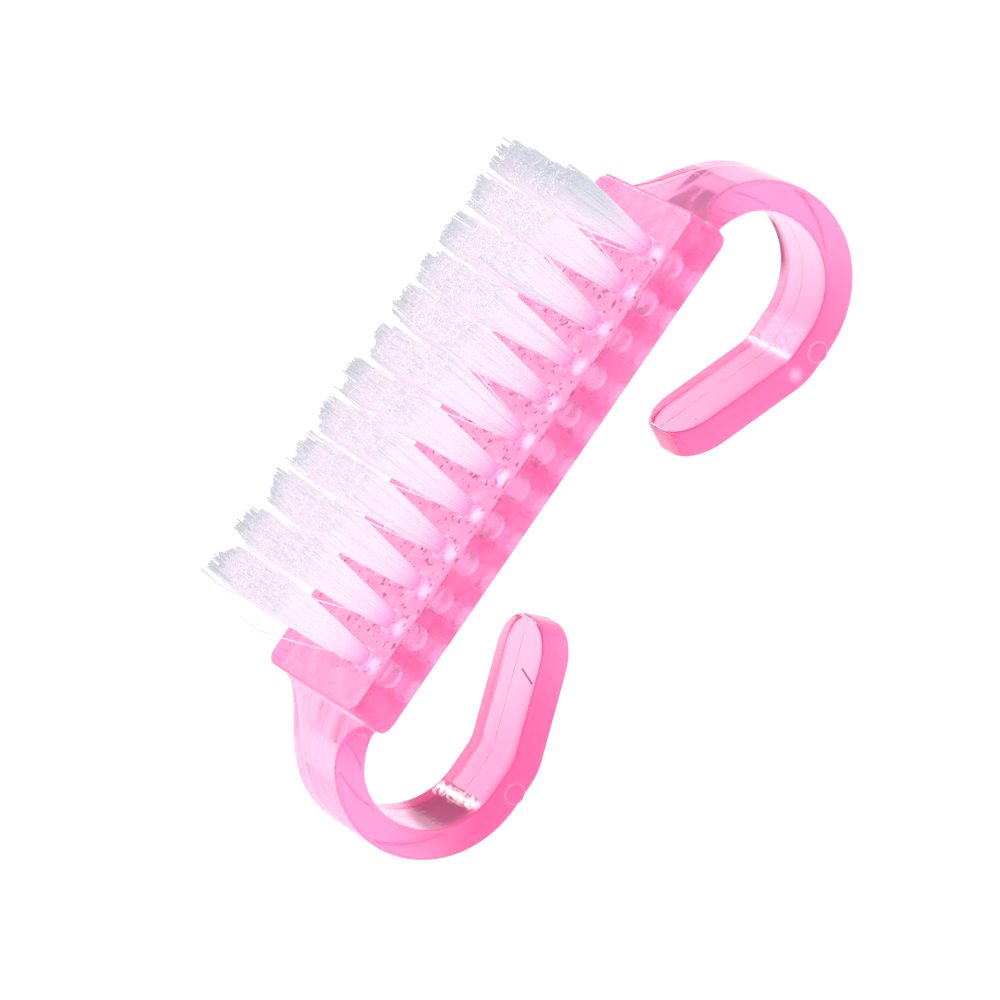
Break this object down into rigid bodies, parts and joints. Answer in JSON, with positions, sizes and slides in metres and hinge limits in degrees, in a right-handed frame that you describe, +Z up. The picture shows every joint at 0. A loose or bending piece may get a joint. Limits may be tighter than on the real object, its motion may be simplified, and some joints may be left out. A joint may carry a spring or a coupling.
{
  "type": "nail brush",
  "caption": "Small finger-grip nail brush: a clear moulded bar with rows of nylon tufts on its face and a C-shaped finger hook curling back from each end.",
  "frame": {"origin": "middle of the brush's footprint, on the surface that the lowest curves of its two hooks stand on", "axes": "+X along the bar, +Y across it, away from the side that carries the round moulding pads, and +Z up along the bristles, from their roots to their cut tips"},
  "size_m": [0.065, 0.017, 0.0319],
  "materials": {
    "moulded_plastic": "clear pink, polished",
    "nylon_filament": "translucent white",
    "anchor_metal": "plain"
  },
  "bodies": {
    "root": {"moulded_body": "moulded_plastic", "anchors_row1": "anchor_metal", "anchors_row2": "anchor_metal", "anchors_row3": "anchor_metal", "anchors_row4": "anchor_metal", "tuft_row1_column01": "nylon_filament", "tuft_row1_column02": "nylon_filament", "tuft_row1_column03": "nylon_filament", "tuft_row1_column04": "nylon_filament", "tuft_row1_column05": "nylon_filament", "tuft_row1_column06": "nylon_filament", "tuft_row1_column07": "nylon_filament", "tuft_row1_column08": "nylon_filament", "tuft_row1_column09": "nylon_filament", "tuft_row1_column10": "nylon_filament", "tuft_row1_column11": "nylon_filament", "tuft_row1_column12": "nylon_filament", "tuft_row2_column01": "nylon_filament", "tuft_row2_column02": "nylon_filament", "tuft_row2_column03": "nylon_filament", "tuft_row2_column04": "nylon_filament", "tuft_row2_column05": "nylon_filament", "tuft_row2_column06": "nylon_filament", "tuft_row2_column07": "nylon_filament", "tuft_row2_column08": "nylon_filament", "tuft_row2_column09": "nylon_filament", "tuft_row2_column10": "nylon_filament", "tuft_row2_column11": "nylon_filament", "tuft_row2_column12": "nylon_filament", "tuft_row3_column01": "nylon_filament", "tuft_row3_column02": "nylon_filament", "tuft_row3_column03": "nylon_filament", "tuft_row3_column04": "nylon_filament", "tuft_row3_column05": "nylon_filament", "tuft_row3_column06": "nylon_filament", "tuft_row3_column07": "nylon_filament", "tuft_row3_column08": "nylon_filament", "tuft_row3_column09": "nylon_filament", "tuft_row3_column10": "nylon_filament", "tuft_row3_column11": "nylon_filament", "tuft_row3_column12": "nylon_filament", "tuft_row4_column01": "nylon_filament", "tuft_row4_column02": "nylon_filament", "tuft_row4_column03": "nylon_filament", "tuft_row4_column04": "nylon_filament", "tuft_row4_column05": "nylon_filament", "tuft_row4_column06": "nylon_filament", "tuft_row4_column07": "nylon_filament", "tuft_row4_column08": "nylon_filament", "tuft_row4_column09": "nylon_filament", "tuft_row4_column10": "nylon_filament", "tuft_row4_column11": "nylon_filament", "tuft_row4_column12": "nylon_filament"}
  },
  "joints": []
}
